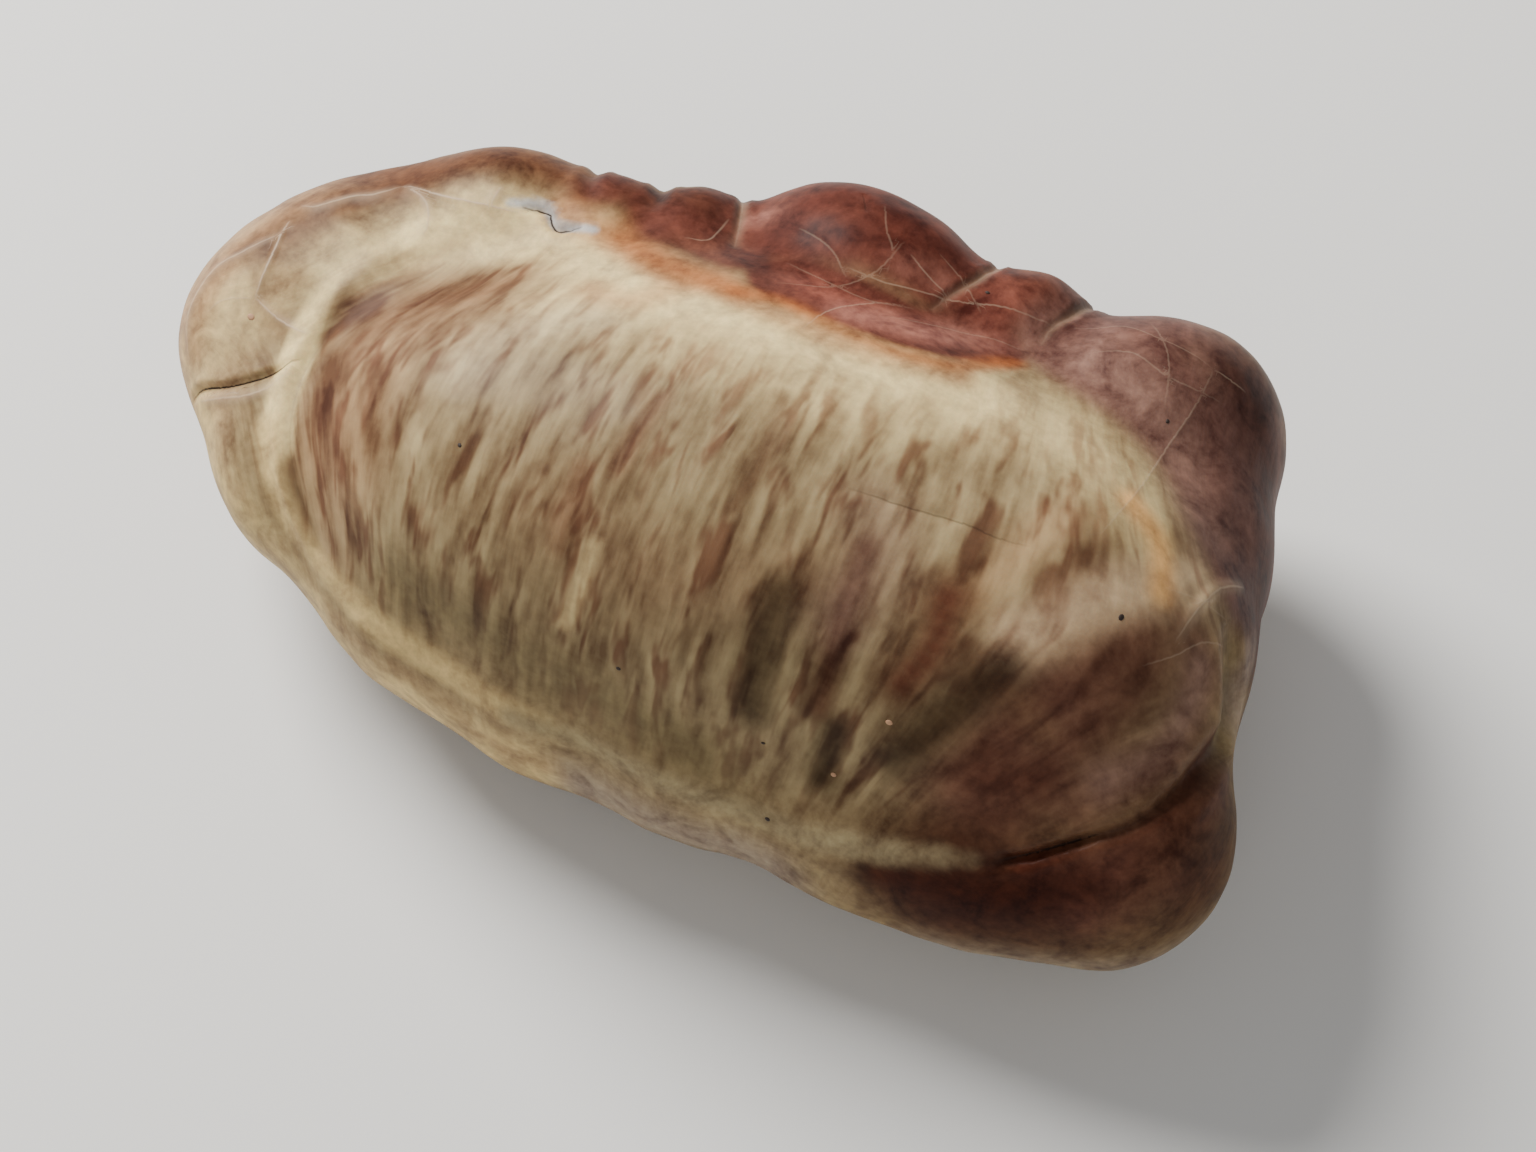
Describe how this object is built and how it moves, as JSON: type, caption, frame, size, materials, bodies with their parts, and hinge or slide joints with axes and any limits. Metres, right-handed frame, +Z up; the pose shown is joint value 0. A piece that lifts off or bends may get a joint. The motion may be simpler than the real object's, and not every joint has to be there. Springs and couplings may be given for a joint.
{
  "type": "blood sausage",
  "caption": "Large rustic blood sausage in a natural sacculated casing: a big oval belly ringed by rounded bulging sacs, lying flat on its broad side.",
  "frame": {"origin": "on the surface the sausage lies on, under the middle of its length and width", "axes": "+X along the sausage from its rounded end to its blunt end, +Y towards the row of small sacs, +Z up"},
  "size_m": [0.222, 0.1264, 0.086],
  "materials": {
    "casing": "semi-gloss, moist, translucent"
  },
  "bodies": {
    "root": {"filled_casing": "casing"}
  },
  "joints": []
}
